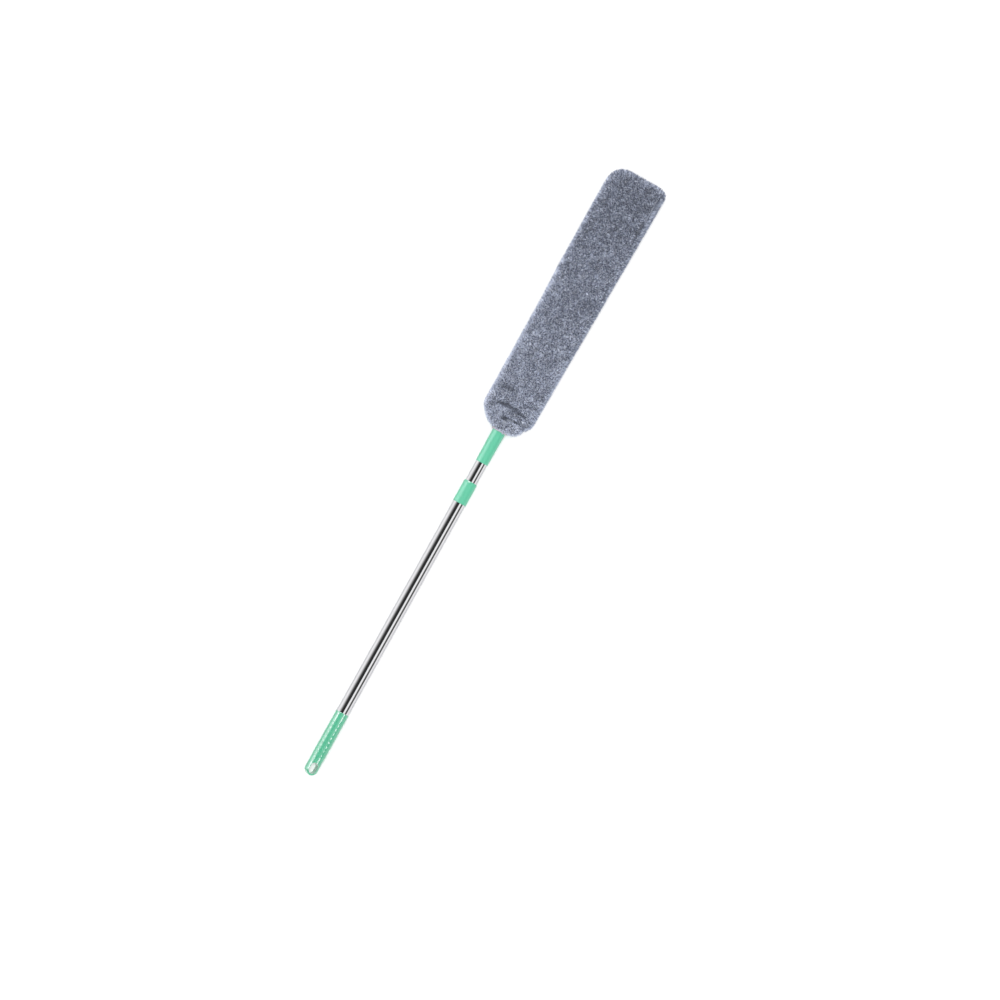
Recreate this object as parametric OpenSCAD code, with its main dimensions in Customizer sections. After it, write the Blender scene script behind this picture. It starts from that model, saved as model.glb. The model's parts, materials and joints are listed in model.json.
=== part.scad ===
// Telescopic gap duster: a flat plush sleeve on a flexible board, at the end of a two-stage
// chromed pole with a twist lock. It lies on its head: X runs along the pole from the grip
// to the tip of the head, Z points up out of the broad face, and z = 0 is the surface.
// Millimetres. The origin is midway along the length.

/* [Overall] */
// Overall length, from the end of the grip to the tip of the head
total_l = 1250; // [1000:10:1400]
// Height of the pole's axis above the surface the head lies on
axis_z = 15.5; // [15.2:0.1:18]
// Gap between an inner piece and the piece that is pressed on it
press_gap = 0.02; // [0:0.01:0.05]

/* [Grip] */
// Length of the grip
grip_l = 128; // [110:1:140]
// Radius of the grip in the grooves between its rings
grip_r = 12.55; // [12.5:0.05:13]
// Mean height of a ring above the grooves of the grip
ring_h = 0.35; // [0.1:0.05:0.45]
// Distance from one ring to the next
ring_pitch = 9; // [7:0.5:12]
// Number of rings
ring_count = 8; // [3:1:9]
// Plain length between the grip's mouth and the first ring
ring_start = 19.5; // [10:0.5:25]
// Width of the hanging slot
slot_w = 14; // [10:0.5:16]
// Length of the hanging slot
slot_l = 21.5; // [18:0.5:26]
// Wall left at the end of the hanging slot
slot_wall = 3.6; // [2.5:0.1:6]
// Turn of the hanging slot about the pole, in degrees
slot_turn = 15; // [0:1:30]

/* [Tubes] */
// Outer radius of the outer tube
outer_r = 12; // [12:0.1:12.3]
// Outer radius of the inner tube
inner_r = 11; // [10.8:0.1:11.1]
// Wall of both tubes
tube_wall = 0.5; // [0.4:0.05:0.6]
// Length of the outer tube that shows between the grip and the collar
outer_shown = 439; // [300:1:500]
// Length of the inner tube that shows between the collar and the neck
inner_shown = 40; // [5:1:60]
// Length of the inner tube below the collar, inside the outer tube
inner_buried = 466; // [300:1:466]

/* [Guide collar] */
// Length of the collar
collar_l = 44; // [36:1:50]
// Radius of the collar at its lower rim
collar_low_r = 13; // [12.8:0.05:13.2]
// Radius of the collar at its upper rim
collar_top_r = 12.75; // [12.6:0.05:13]
// Length of the outer tube inside the collar
collar_grip_l = 28; // [20:1:32]
// Radial clearance of the inner tube in the collar
guide_gap = 0.1; // [0.05:0.01:0.15]

/* [Twist lock] */
// Thread radius of the lock spindle
spindle_r = 4; // [3.5:0.1:4.5]
// Pitch of the spindle's coarse thread
spindle_pitch = 4; // [3:0.5:5]
// Length of the expander sleeve
sleeve_l = 22; // [20:1:24]
// Radial clearance between the expander sleeve and the outer tube when slack
sleeve_gap = 0.2; // [0.1:0.05:0.3]

/* [Neck] */
// Length of the neck that shows below the plush
neck_shown = 64.4; // [50:0.2:80]
// Radius of the neck at its mouth
neck_low_r = 11.9; // [11.8:0.05:12]
// Radius of the neck where it enters the plush
neck_top_r = 12.5; // [12.2:0.05:12.5]
// Half width of the jaw that holds the board
jaw_half_w = 24; // [20:1:26]
// Half thickness of the jaw
jaw_half_t = 4.5; // [4:0.1:5]

/* [Board] */
// Half width of the flexible board
board_half_w = 36; // [30:0.5:36]
// Thickness of the flexible board
board_t = 2.4; // [2:0.1:3]

/* [Plush cover] */
// Thickness of the pile fabric around the pocket
pile_t = 10; // [9:0.5:12]
// Left half width of the cover near its mouth
cover_left_w = 50.5; // [50:0.5:55]
// Right half width of the cover near its mouth
cover_right_w = 50.2; // [50:0.2:55]
// Extra left half width over the outer half of the head
left_flare = 2.1; // [0:0.1:4]
// Extra right half width at the tip
right_flare = 9.2; // [0:0.1:12]
// Height of the crown of the upper face above the pole's axis
cover_up = 17; // [15.5:0.5:20]

/* [Hidden] */
$fn = 64;
eps = 0.5;

GREEN = [0.40, 0.78, 0.63];
CHROME = [0.82, 0.83, 0.85];
STEEL = [0.62, 0.63, 0.65];
NYLON = [0.90, 0.90, 0.86];
PLUSH = [0.47, 0.49, 0.56];
PLUSH_DARK = [0.36, 0.38, 0.45];

// Stations along the pole
grip_x = -total_l / 2;
grip_mouth_x = grip_x + grip_l;
collar_x = grip_mouth_x + outer_shown;
collar_top_x = collar_x + collar_l;
neck_x = collar_top_x + inner_shown;
mouth_x = neck_x + neck_shown;
tip_x = total_l / 2;

// Grip
loop_r = slot_w / 2 + 2.5;
loop_half_t = 8;
shoulder_d = 4;
shoulder_r = 5;
shoulder_steps = 6;
outer_seat_x = grip_x + 37;
grip_core_x = outer_seat_x - 7;
grip_core_r = 10.6;
grip_lip = 0.15;
ring_steps = 10;
ring_growth = 0.35;

// Tubes
outer_end_x = collar_x + collar_grip_l;
inner_start_x = collar_top_x - inner_buried;
inner_end_x = mouth_x + 7.6;
outer_bore_r = outer_r - tube_wall;
inner_bore_r = inner_r - tube_wall;
collar_band_l = 12;
pip_turn = -22;

// Twist lock, which hangs below the inner tube
flange_t = 4;
flange_x = inner_start_x - flange_t;
plug_l = 30;
sleeve_x = flange_x - 0.5 - sleeve_l;
sleeve_r = outer_bore_r - sleeve_gap;
sleeve_slit = 1.6;
slit_l = 16;
taper_mouth_r = 8.6;
taper_end_r = spindle_r + 0.9;
taper_gap = 0.22;
key_w = 1.1;
cone_nose_x = sleeve_x + 9;
cone_root_x = sleeve_x - 3;
cone_l = 24;
cone_r = 10.4;
cone_x = cone_nose_x - cone_l;
thread_end_x = cone_x - 8;
thread_depth = 0.5;
washer_t = 1.2;
washer_r = 7;
washer_hole_r = 1.6;
screw_r = 1.25;
screw_l = 12;
screw_head_r = 4;
screw_head_h = 2.6;
screw_slot_w = 1;
screw_slot_l = 5;
screw_slot_d = 1.5;
pin_x = inner_start_x + 15;
pin_r = 1.6;

// Neck, jaw and board
socket_end_x = inner_end_x + 2;
neck_round_x = mouth_x + 12;
jaw_x = neck_round_x + 20;
jaw_end_x = mouth_x + 88;
board_x = jaw_x + 4;
board_gap = 0.1;
board_start_r = 12;
board_end_r = 24;
board_end_x = tip_x - 21;
cut_half_w = 40;
bead_w = 3;
bead_h = 0.6;
hole_l = 34;
hole_w = 9;
hole_pitch = 62;
hole_count = 6;
rivet_r = 2;
rivet_head_r = 4;
rivet_head_t = 1.1;
rivet_xs = [jaw_x + 15, jaw_end_x - 14];
rivet_y = 14;
socket_pin_x = mouth_x + 3.6;

// Plush cover
panel_x = mouth_x + 49.6;
gather_x = mouth_x + 7.6;
pocket_end_x = tip_x - 13;
pocket_low_h = 6.2;
pocket_h = 4;
pocket_step_x = jaw_end_x + 8;
slit_h = 0.05;
cover_down = 17;
seam_w = 3;
seam_t = 2;
seam_gap = 0.1;
hem_r = 15;
hem_bore_r = neck_top_r + 0.35;
hem_round = 0.8;
mouth_half_w = 14;
left_shoulder_x = mouth_x + 4.6;
right_shoulder_x = mouth_x + 2.6;
left_flare_x = panel_x + 200;
left_flare_l = 75;
tip_round_x = 14;
left_round_x = 37;
right_round_x = 25;
arc_steps = 18;
body_rings = 8;

// ---------- shared shapes ----------

// Stands a shape drawn along Z on the pole's axis, from x along +X
module along_pole(x) {
    translate([x, 0, axis_z]) rotate([0, 90, 0]) children();
}

module rod(x, length, r) {
    along_pole(x) cylinder(h = length, r = r);
}

module pipe(x, length, r, wall) {
    along_pole(x) rotate_extrude() translate([r - wall, 0]) square([wall, length]);
}

// Turns a profile of [radius, distance along the pole from x] about the pole's axis
module turned(x, profile) {
    along_pole(x) rotate_extrude() polygon(profile);
}

// A flat bar from x0 to x1 with corner radii r0 at its start and r1 at its end
module bar_outline(x0, x1, half_w, r0, r1) {
    translate([x0 + r0, -half_w]) square([x1 - x0 - r0 - r1, 2 * half_w]);
    translate([x0, r0 - half_w]) square([r0 + 1, 2 * (half_w - r0)]);
    translate([x1 - r1 - 1, r1 - half_w]) square([r1 + 1, 2 * (half_w - r1)]);
    for (side = [-1, 1]) {
        translate([x0 + r0, side * (half_w - r0)]) circle(r = r0);
        translate([x1 - r1, side * (half_w - r1)]) circle(r = r1);
    }
}

// A slot's outline with round ends, from x0 along +X
module oblong(x0, length, width) {
    translate([x0 + width / 2, -width / 2]) square([length - width, width]);
    translate([x0 + width / 2, 0]) circle(d = width);
    translate([x0 + length - width / 2, 0]) circle(d = width);
}

// A plate on the board's plane, thick each way from the pole's axis by half_t
module plate(half_t) {
    translate([0, 0, axis_z - half_t]) linear_extrude(height = 2 * half_t) children();
}

// ---------- grip ----------

// Height of ring i at a share u of its pitch: an arch. The rings grow a little towards the slot.
function ring_rise(i, u) =
    ring_h * (1 + ring_growth * (2 * i / (ring_count - 1) - 1)) * (1 - pow(2 * u - 1, 2));

grip_profile = concat(
    [[0, shoulder_d]],
    [for (a = [0 : 90 / shoulder_steps : 90])
        [grip_r - shoulder_r * (1 - sin(a)), shoulder_d + shoulder_r * (1 - cos(a))]],
    [[grip_r, grip_l - ring_start - ring_count * ring_pitch]],
    [for (i = [ring_count - 1 : -1 : 0], k = [ring_steps - 1 : -1 : 0])
        [grip_r + ring_rise(i, k / ring_steps),
         grip_l - ring_start - (i + k / ring_steps) * ring_pitch]],
    [[grip_r + grip_lip, grip_l - 2 * grip_lip],
     [grip_r, grip_l], [0, grip_l]]
);

// Sends a plan outline through the pole, half_t each way, turned with the hanging slot
module through_slot(half_t) {
    translate([0, 0, axis_z]) rotate([slot_turn, 0, 0]) translate([0, 0, -half_t])
        linear_extrude(height = 2 * half_t) children();
}

// The flat loop that ends the grip, seen along the slot
module loop_outline() {
    translate([grip_x + loop_r, 0]) circle(r = loop_r);
    translate([grip_x + loop_r, -loop_r]) square([loop_r + 2, 2 * loop_r]);
}

module grip() {
    color(GREEN) difference() {
        union() {
            turned(grip_x, grip_profile);
            through_slot(loop_half_t) loop_outline();
        }
        through_slot(grip_r + 2 * ring_h + eps) oblong(grip_x + slot_wall, slot_l, slot_w);
        rod(outer_seat_x, grip_l, outer_r + press_gap);
        rod(grip_core_x, grip_l, grip_core_r);
    }
}

// ---------- tubes and collar ----------

module outer_tube() {
    color(CHROME) pipe(outer_seat_x, outer_end_x - outer_seat_x, outer_r, tube_wall);
}

module inner_tube() {
    color(CHROME) difference() {
        pipe(inner_start_x, inner_end_x - inner_start_x, inner_r, tube_wall);
        cross_hole(pin_x, pin_r);
        cross_hole(socket_pin_x, pin_r);
    }
}

// A hole or pin of radius r across the pole, along Y
module cross_hole(x, r, length = 40) {
    translate([x, 0, axis_z]) rotate([90, 0, 0]) cylinder(h = length, r = r, center = true);
}

// The collar is pressed on the outer tube and guides the inner tube. Its lower rim is a
// slightly wider band, and its upper rim is bevelled.
module guide_collar() {
    bevel = 1.2;
    bevel_l = 2.4;
    band_top_r = collar_low_r - 0.08;
    color(GREEN) union() {
        difference() {
            turned(collar_x, [
                [0, 0], [collar_low_r - 0.3, 0], [collar_low_r, 0.6], [band_top_r, collar_band_l],
                [band_top_r - 0.12, collar_band_l + 0.6], [collar_top_r, collar_l - bevel_l],
                [collar_top_r - bevel, collar_l], [0, collar_l]
            ]);
            rod(collar_x - eps, collar_grip_l + eps, outer_r + press_gap);
            rod(collar_x, collar_l + eps, inner_r + guide_gap);
        }
        collar_pip();
    }
}

// A short moulded rib across the collar's band, turned a little to the left
module collar_pip() {
    length = 6.4;
    width = 1.6;
    depth = 1;
    rise = 0.15;
    translate([collar_x + collar_band_l, 0, axis_z]) rotate([pip_turn, 0, 0])
        translate([0, -length / 2, collar_low_r - depth]) cube([width, length, depth + rise]);
}

// ---------- twist lock ----------

thread_teeth = floor((flange_x - thread_end_x) / spindle_pitch);
thread_profile = concat(
    [[0, thread_end_x - flange_x], [spindle_r - thread_depth, thread_end_x - flange_x]],
    [for (i = [0 : thread_teeth - 1], side = [0.25, 0.5, 0.75, 1])
        [spindle_r - (side == 0.5 || side == 0.75 ? 0 : thread_depth),
         thread_end_x - flange_x + (i + side) * spindle_pitch]],
    [[spindle_r, 0], [inner_r - 0.1, 0], [inner_r - 0.1, flange_t],
     [inner_bore_r - press_gap, flange_t], [inner_bore_r - press_gap, flange_t + plug_l - 2],
     [inner_bore_r - 1.5, flange_t + plug_l], [0, flange_t + plug_l]]
);

module lock_spindle() {
    color(GREEN) difference() {
        turned(flange_x, thread_profile);
        cross_hole(pin_x, pin_r);
        rod(thread_end_x - eps, screw_l + eps, screw_r);
    }
}

module spindle_pin() {
    color(STEEL) cross_hole(pin_x, pin_r - press_gap, 2 * inner_r - 0.4);
}

// A slit sleeve with a tapered bore, which the cone spreads against the outer tube
module expander_sleeve() {
    color(NYLON) difference() {
        turned(sleeve_x, [
            [taper_mouth_r, 0], [sleeve_r - 0.4, 0], [sleeve_r, 0.8],
            [sleeve_r, sleeve_l - 0.8], [sleeve_r - 0.8, sleeve_l],
            [taper_end_r, sleeve_l], [taper_end_r, slit_l]
        ]);
        for (turn = [0, 90])
            translate([sleeve_x - eps, 0, axis_z]) rotate([turn, 0, 0])
                translate([0, -sleeve_slit / 2, -outer_r]) cube([slit_l, sleeve_slit, 2 * outer_r]);
    }
}

// Radius of the cone at x, where it fits the sleeve's tapered bore
function taper_r(x) =
    taper_mouth_r - taper_gap - (taper_mouth_r - taper_end_r) * (x - sleeve_x) / slit_l;

// The tapered nut. Its keys run in two of the sleeve's slits, so it can't turn in the sleeve.
module lock_cone() {
    body_end_x = cone_root_x - 1;
    color(NYLON) difference() {
        union() {
            turned(cone_x, [
                [0, 0], [cone_r - 0.8, 0], [cone_r, 0.8], [cone_r, body_end_x - cone_x],
                [taper_r(cone_root_x), cone_root_x - cone_x],
                [taper_r(cone_nose_x), cone_l], [0, cone_l]
            ]);
            translate([body_end_x - 1, -key_w / 2, axis_z - cone_r + 0.4])
                cube([cone_nose_x - body_end_x, key_w, 2 * cone_r - 0.8]);
        }
        rod(cone_x - eps, cone_l + 1, spindle_r + 0.3);
    }
}

module stop_washer() {
    color(STEEL) pipe(thread_end_x - washer_t, washer_t, washer_r, washer_r - washer_hole_r);
}

module stop_screw() {
    head_x = thread_end_x - washer_t - screw_head_h;
    color(STEEL) difference() {
        union() {
            rod(head_x, screw_head_h, screw_head_r);
            rod(head_x + screw_head_h - 0.1, screw_l, screw_r - press_gap);
        }
        for (turn = [0, 90])
            translate([head_x - eps, 0, axis_z]) rotate([turn, 0, 0])
                translate([0, -screw_slot_w / 2, -screw_slot_l / 2])
                    cube([screw_slot_d + eps, screw_slot_w, screw_slot_l]);
    }
}

// ---------- neck and board ----------

module tube_plug() {
    plug_x = socket_pin_x - 10;
    plug_end_x = inner_end_x + 1.5;
    color(NYLON) difference() {
        turned(plug_x, [
            [0, 0], [inner_bore_r - 1, 0], [inner_bore_r - press_gap, 1.5],
            [inner_bore_r - press_gap, inner_end_x - plug_x],
            [inner_r - 0.05, inner_end_x - plug_x],
            [inner_r - 0.05, plug_end_x - plug_x], [0, plug_end_x - plug_x]
        ]);
        cross_hole(socket_pin_x, pin_r);
    }
}

module neck_socket() {
    mouth_round = 0.4;
    color(GREEN) difference() {
        union() {
            turned(neck_x, [
                [0, 0], [neck_low_r - mouth_round, 0], [neck_low_r, mouth_round],
                [neck_top_r, mouth_x - neck_x], [neck_top_r, neck_round_x - neck_x],
                [0, neck_round_x - neck_x]
            ]);
            hull() {
                rod(neck_round_x - 1, 1, neck_top_r);
                translate([jaw_x, -jaw_half_w, axis_z - jaw_half_t])
                    cube([1, 2 * jaw_half_w, 2 * jaw_half_t]);
            }
            plate(jaw_half_t) bar_outline(jaw_x, jaw_end_x, jaw_half_w, 1, 9);
        }
        rod(neck_x - eps, socket_end_x - neck_x + eps, inner_r + press_gap);
        cross_hole(socket_pin_x, pin_r);
        plate(board_t / 2 + board_gap) strip(board_x - eps, jaw_end_x + eps);
        rivet_holes();
    }
}

module socket_pin() {
    color(STEEL) cross_hole(socket_pin_x, pin_r - press_gap, 2 * neck_top_r - 0.3);
}

module rivet_places() {
    for (x = rivet_xs, side = [-1, 1]) translate([x, side * rivet_y, axis_z]) children();
}

module rivet_holes() {
    rivet_places() cylinder(h = 4 * jaw_half_t, r = rivet_r, center = true);
}

// A strip from x0 to x1 that is wider than the jaw and the board
module strip(x0, x1) {
    translate([x0, -cut_half_w]) square([x1 - x0, 2 * cut_half_w]);
}

module board_outline(inset) {
    bar_outline(board_x + inset, board_end_x - inset, board_half_w - inset,
        board_start_r - inset, board_end_r - inset);
}

// A flexible board with a raised bead round its edge and a row of lightening slots
module board() {
    first_hole_x = jaw_end_x + 24;
    color(GREEN) difference() {
        union() {
            plate(board_t / 2) board_outline(0);
            difference() {
                plate(board_t / 2 + bead_h) board_outline(0);
                plate(board_t) board_outline(bead_w);
                plate(board_t) strip(board_x - 1, jaw_end_x + 2);
            }
        }
        for (i = [0 : hole_count - 1])
            plate(board_t) oblong(first_hole_x + i * hole_pitch, hole_l, hole_w);
        rivet_holes();
    }
}

module board_rivets() {
    color(STEEL) rivet_places() {
        cylinder(h = 2 * jaw_half_t + 0.2, r = rivet_r - press_gap, center = true);
        translate([0, 0, jaw_half_t]) cylinder(h = rivet_head_t, r = rivet_head_r);
        translate([0, 0, -jaw_half_t - rivet_head_t])
            cylinder(h = rivet_head_t, r = rivet_head_r);
    }
}

// ---------- plush cover ----------

function smooth(u) = let (v = min(1, max(0, u))) v * v * (3 - 2 * v);

// A rounded end: 1 where u is 0 or less, down to 0 where u is 1, rounder for a smaller power
function rounded(u, power) = u <= 0 ? 1 : u >= 1 ? 0 : pow(1 - pow(u, power), 1 / power);

// Half widths of the cover at x, to the left (+Y) and to the right (-Y)
function mouth_width(x, full, shoulder_x, power) =
    mouth_half_w
    + (full - mouth_half_w) * rounded((panel_x - x) / (panel_x - shoulder_x), power);
function left_w(x) =
    let (full = cover_left_w + left_flare * smooth((x - left_flare_x) / left_flare_l))
    mouth_width(x, full, left_shoulder_x, 1.55)
    * rounded((x - tip_x + left_round_x) / left_round_x, 2.6);
function right_w(x) =
    let (full = cover_right_w + right_flare * max(0, x - panel_x) / (tip_x - panel_x))
    mouth_width(x, full, right_shoulder_x, 1.85)
    * rounded((x - tip_x + right_round_x) / right_round_x, 3.5);

// Share of the cover's full thickness at x
function thickness(x) =
    rounded((x - tip_x + tip_round_x) / tip_round_x, 2)
    * (0.84 + 0.16 * smooth((x - gather_x) / 22));

function power_sign(v, p) = sign(v) * pow(abs(v), p);
function section_y(x, a) =
    let (c = power_sign(cos(a), 0.6)) c * (c > 0 ? left_w(x) : right_w(x));

// Height above (side 1) or depth below (side -1) the axis of the outer face at angle a. The
// lower face is flat where it lies on the surface.
function section_z(x, a, side) =
    let (s = pow(sin(a), 0.6) * thickness(x))
    side > 0 ? axis_z + cover_up * s : max(0, axis_z - cover_down * s);

function pocket_half(x) =
    x >= pocket_end_x ? slit_h : x >= pocket_step_x ? pocket_h : pocket_low_h;

function pocket_y(x, i) =
    let (left = left_w(x) - pile_t, right = right_w(x) - pile_t,
         u = i <= 1 ? 0 : i >= arc_steps - 1 ? 1 : (i - 1) / (arc_steps - 2))
    left - (left + right) * u;

function pocket_z(x, i, side) =
    i == 0 || i == arc_steps ? axis_z : axis_z + side * pocket_half(x);

// One ring of a panel: the outer face from left to right, then the pocket's face back
function panel_ring(x, side) = concat(
    [for (i = [0 : arc_steps])
        [x, section_y(x, 180 * i / arc_steps), section_z(x, 180 * i / arc_steps, side)]],
    [for (i = [arc_steps : -1 : 0]) [x, pocket_y(x, i), pocket_z(x, i, side)]]
);

// The panels' rings crowd together where the outline rounds off to the tip
round_x = tip_x - left_round_x;
step = 0.01;
panel_xs = concat(
    [panel_x, (panel_x + pocket_step_x) / 2, pocket_step_x - step, pocket_step_x],
    [for (i = [1 : body_rings])
        pocket_step_x + i * (round_x - pocket_step_x) / body_rings],
    [for (d = [30, 23, 17]) tip_x - d],
    [pocket_end_x - step, pocket_end_x],
    [for (d = [9, 6, 3.5, 1.5, 0.4]) tip_x - d]
);

// Skins rings of equal length into a closed tube wall; turned over for the other hand
function skin_faces(rings, n, flip) = [
    for (r = [0 : rings - 2], k = [0 : n - 1])
        let (a = r * n + k, b = r * n + (k + 1) % n, c = b + n, d = a + n)
        each flip ? [[a, c, b], [a, d, c]] : [[a, b, c], [a, c, d]]
];

// Closes a panel's end between its outer face and its pocket face
function cap_faces(first, steps, flip) = [
    for (i = [0 : steps - 1])
        let (a = first + i, b = a + 1, d = first + 2 * steps + 1 - i, c = d - 1)
        each flip ? [[a, b, c], [a, c, d]] : [[a, c, b], [a, d, c]]
];

module panel(side) {
    rings = len(panel_xs);
    n = 2 * (arc_steps + 1);
    polyhedron(
        points = [for (x = panel_xs) each panel_ring(x, side)],
        faces = concat(
            skin_faces(rings, n, side < 0),
            cap_faces(0, arc_steps, side < 0),
            cap_faces((rings - 1) * n, arc_steps, side > 0)
        )
    );
}

module plush_front() { color(PLUSH) panel(1); }

module plush_back() { color(PLUSH) panel(-1); }

// The outline of the pocket from start_x on, drawn in by inset
function seam_outline(start_x, inset) =
    let (end_x = pocket_end_x - seam_gap - inset,
         xs = concat([start_x], [for (x = panel_xs) if (x > panel_x && x < end_x - seam_gap) x],
             [end_x]))
    concat(
        [for (x = xs) [x, left_w(x) - pile_t - inset - seam_gap]],
        [for (i = [len(xs) - 1 : -1 : 0]) [xs[i], seam_gap + inset + pile_t - right_w(xs[i])]]
    );

// The seam allowance that joins the two panels, inside the pocket's edge
module side_seam() {
    color(PLUSH_DARK) plate(seam_t / 2) difference() {
        polygon(seam_outline(panel_x + 2, 0));
        polygon(seam_outline(panel_x - 2, seam_w));
    }
}

// The gathered mouth: from the hem round the neck out to the panels' full width
gather_steps = 32;
gather_gap = 0.05;
gather_lift = 0.4;
gather_cavity_w = 38;
gather_cavity_h = 8;
gather_xs = [for (u = [0, 0.1, 0.22, 0.36, 0.52, 0.7, 0.86, 1])
    gather_x + gather_gap + (panel_x - gather_x - 2 * gather_gap) * u];

function gather_outer(x, a) =
    let (s = power_sign(sin(a), 0.7) * thickness(x))
    [x, section_y(x, a), s > 0 ? axis_z + cover_up * s : max(gather_lift, axis_z + cover_down * s)];

function gather_inner(x, a) =
    let (u = smooth((x - neck_round_x + 2) / (jaw_x - neck_round_x)),
         w = hem_bore_r + (gather_cavity_w - hem_bore_r) * u,
         h = hem_bore_r + (gather_cavity_h - hem_bore_r) * u,
         p = 1 - 0.4 * u)
    [x, w * power_sign(cos(a), p), axis_z + h * power_sign(sin(a), p)];

module mouth_gather() {
    rings = len(gather_xs);
    n = gather_steps;
    inner = rings * n;
    last = (rings - 1) * n;
    color(PLUSH_DARK) polyhedron(
        points = concat(
            [for (x = gather_xs, k = [0 : n - 1]) gather_outer(x, 360 * (k + 0.5) / n)],
            [for (x = gather_xs, k = [0 : n - 1]) gather_inner(x, 360 * (k + 0.5) / n)]
        ),
        faces = concat(
            skin_faces(rings, n, true),
            [for (f = skin_faces(rings, n, false)) [f[0] + inner, f[1] + inner, f[2] + inner]],
            [for (k = [0 : n - 1]) let (m = (k + 1) % n)
                each [[k, inner + m, inner + k], [k, m, inner + m]]],
            [for (k = [0 : n - 1]) let (m = (k + 1) % n)
                each [[last + k, inner + last + k, inner + last + m],
                      [last + k, inner + last + m, last + m]]]
        )
    );
}

// The folded hem and the flat elastic that runs inside it
elastic_x = mouth_x + 1.8;
elastic_w = 4;
elastic_in_r = hem_bore_r + 0.7;
elastic_t = 0.8;

module mouth_hem() {
    color(PLUSH_DARK) difference() {
        turned(mouth_x, [
            [hem_bore_r, hem_round], [hem_bore_r + hem_round, 0], [hem_r - hem_round, 0],
            [hem_r, hem_round],
            [hem_r, gather_x - mouth_x], [hem_bore_r, gather_x - mouth_x]
        ]);
        pipe(elastic_x, elastic_w, elastic_in_r + elastic_t, elastic_t);
    }
}

module mouth_elastic() {
    color(NYLON) pipe(elastic_x + 0.05, elastic_w - 0.1, elastic_in_r + elastic_t - 0.05,
        elastic_t - 0.1);
}

grip();
outer_tube();
guide_collar();
inner_tube();
lock_spindle();
spindle_pin();
expander_sleeve();
lock_cone();
stop_washer();
stop_screw();
tube_plug();
neck_socket();
socket_pin();
board();
board_rivets();
plush_front();
plush_back();
side_seam();
mouth_gather();
mouth_hem();
mouth_elastic();
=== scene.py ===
"""The looks of a telescopic plush duster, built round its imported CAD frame. Metres, X along the pole."""

import json
import math

import bpy
import numpy as np
from mathutils import Matrix, Vector
from mathutils.kdtree import KDTree


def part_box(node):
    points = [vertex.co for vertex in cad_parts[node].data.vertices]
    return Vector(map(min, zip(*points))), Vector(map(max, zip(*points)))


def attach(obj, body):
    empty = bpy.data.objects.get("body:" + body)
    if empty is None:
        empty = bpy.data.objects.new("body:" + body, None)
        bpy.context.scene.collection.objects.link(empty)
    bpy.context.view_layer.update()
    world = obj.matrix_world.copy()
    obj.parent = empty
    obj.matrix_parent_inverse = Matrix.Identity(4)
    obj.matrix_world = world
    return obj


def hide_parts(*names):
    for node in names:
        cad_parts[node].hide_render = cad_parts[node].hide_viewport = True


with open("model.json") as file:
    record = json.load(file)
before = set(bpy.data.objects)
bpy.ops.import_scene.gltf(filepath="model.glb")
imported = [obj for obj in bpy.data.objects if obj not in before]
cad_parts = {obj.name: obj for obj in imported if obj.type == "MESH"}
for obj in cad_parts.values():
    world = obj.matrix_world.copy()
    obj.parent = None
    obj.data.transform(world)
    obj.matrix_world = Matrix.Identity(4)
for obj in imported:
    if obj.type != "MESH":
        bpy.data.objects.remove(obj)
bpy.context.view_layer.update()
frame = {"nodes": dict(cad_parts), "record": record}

MM = 0.001

# ---------- places, from the frame ----------

AXIS_Z = (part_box("outer_tube")[0].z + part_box("outer_tube")[1].z) / 2
TIP_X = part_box("plush_front")[1].x
MOUTH_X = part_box("mouth_hem")[0].x
PANEL_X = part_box("plush_front")[0].x
POCKET_END_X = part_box("side_seam")[1].x
COVER_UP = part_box("plush_front")[1].z - AXIS_Z


# ---------- small maths ----------

def smooth(u):
    """0 below 0, 1 above 1, and a smooth step between."""
    v = np.clip(u, 0.0, 1.0)
    return v * v * (3.0 - 2.0 * v)


def rounded(u, power):
    """A rounded end: 1 where u is 0 or less, down to 0 where u is 1, rounder for a smaller power."""
    v = np.clip(u, 0.0, 1.0)
    return (1.0 - v**power) ** (1.0 / power)


def bump(u):
    """1 at 0, falling off to nothing by about 2 each way."""
    return np.exp(-u * u)


def power_sign(v, p):
    """v to the power p, with the sign of v."""
    return np.sign(v) * np.abs(v) ** p


def unit(v):
    """Vectors brought to length 1."""
    return v / np.maximum(np.linalg.norm(v, axis=-1, keepdims=True), 1e-12)


def lattice(i, j, k, seed):
    """A repeatable number from 0 to 1 at each point of a whole-number lattice."""
    h = (i * 73856093) ^ (j * 19349663) ^ (k * 83492791) ^ (seed * 2654435761)
    h = (h ^ (h >> 13)) * 1274126177 & 0xFFFFFFFF
    h = (h ^ (h >> 16)) * 2246822519 & 0xFFFFFFFF
    return ((h ^ (h >> 15)) & 0xFFFFFF) / 0xFFFFFF


def noise(points, size, seed):
    """Smooth noise from -1 to 1 at points, with lumps of about that size."""
    q = np.asarray(points, float) / size + 1000.0
    cell = np.floor(q).astype(np.int64)
    f = q - cell
    f = f * f * (3.0 - 2.0 * f)
    total = np.zeros(len(q))
    for a in (0, 1):
        for b in (0, 1):
            for c in (0, 1):
                share = (
                    (f[:, 0] if a else 1 - f[:, 0])
                    * (f[:, 1] if b else 1 - f[:, 1])
                    * (f[:, 2] if c else 1 - f[:, 2])
                )
                total += share * lattice(cell[:, 0] + a, cell[:, 1] + b, cell[:, 2] + c, seed)
    return 2.0 * total - 1.0


# ---------- camera, light and floor ----------

VIEW_WIDTH = 1.8267
POLE_LEAN = math.radians(29.1)
LOOK_RIGHT = 0.0462
LOOK_DOWN = 0.0451
CAMERA_HEIGHT = 3.0


def link(obj):
    bpy.context.scene.collection.objects.link(obj)
    return obj


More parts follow.
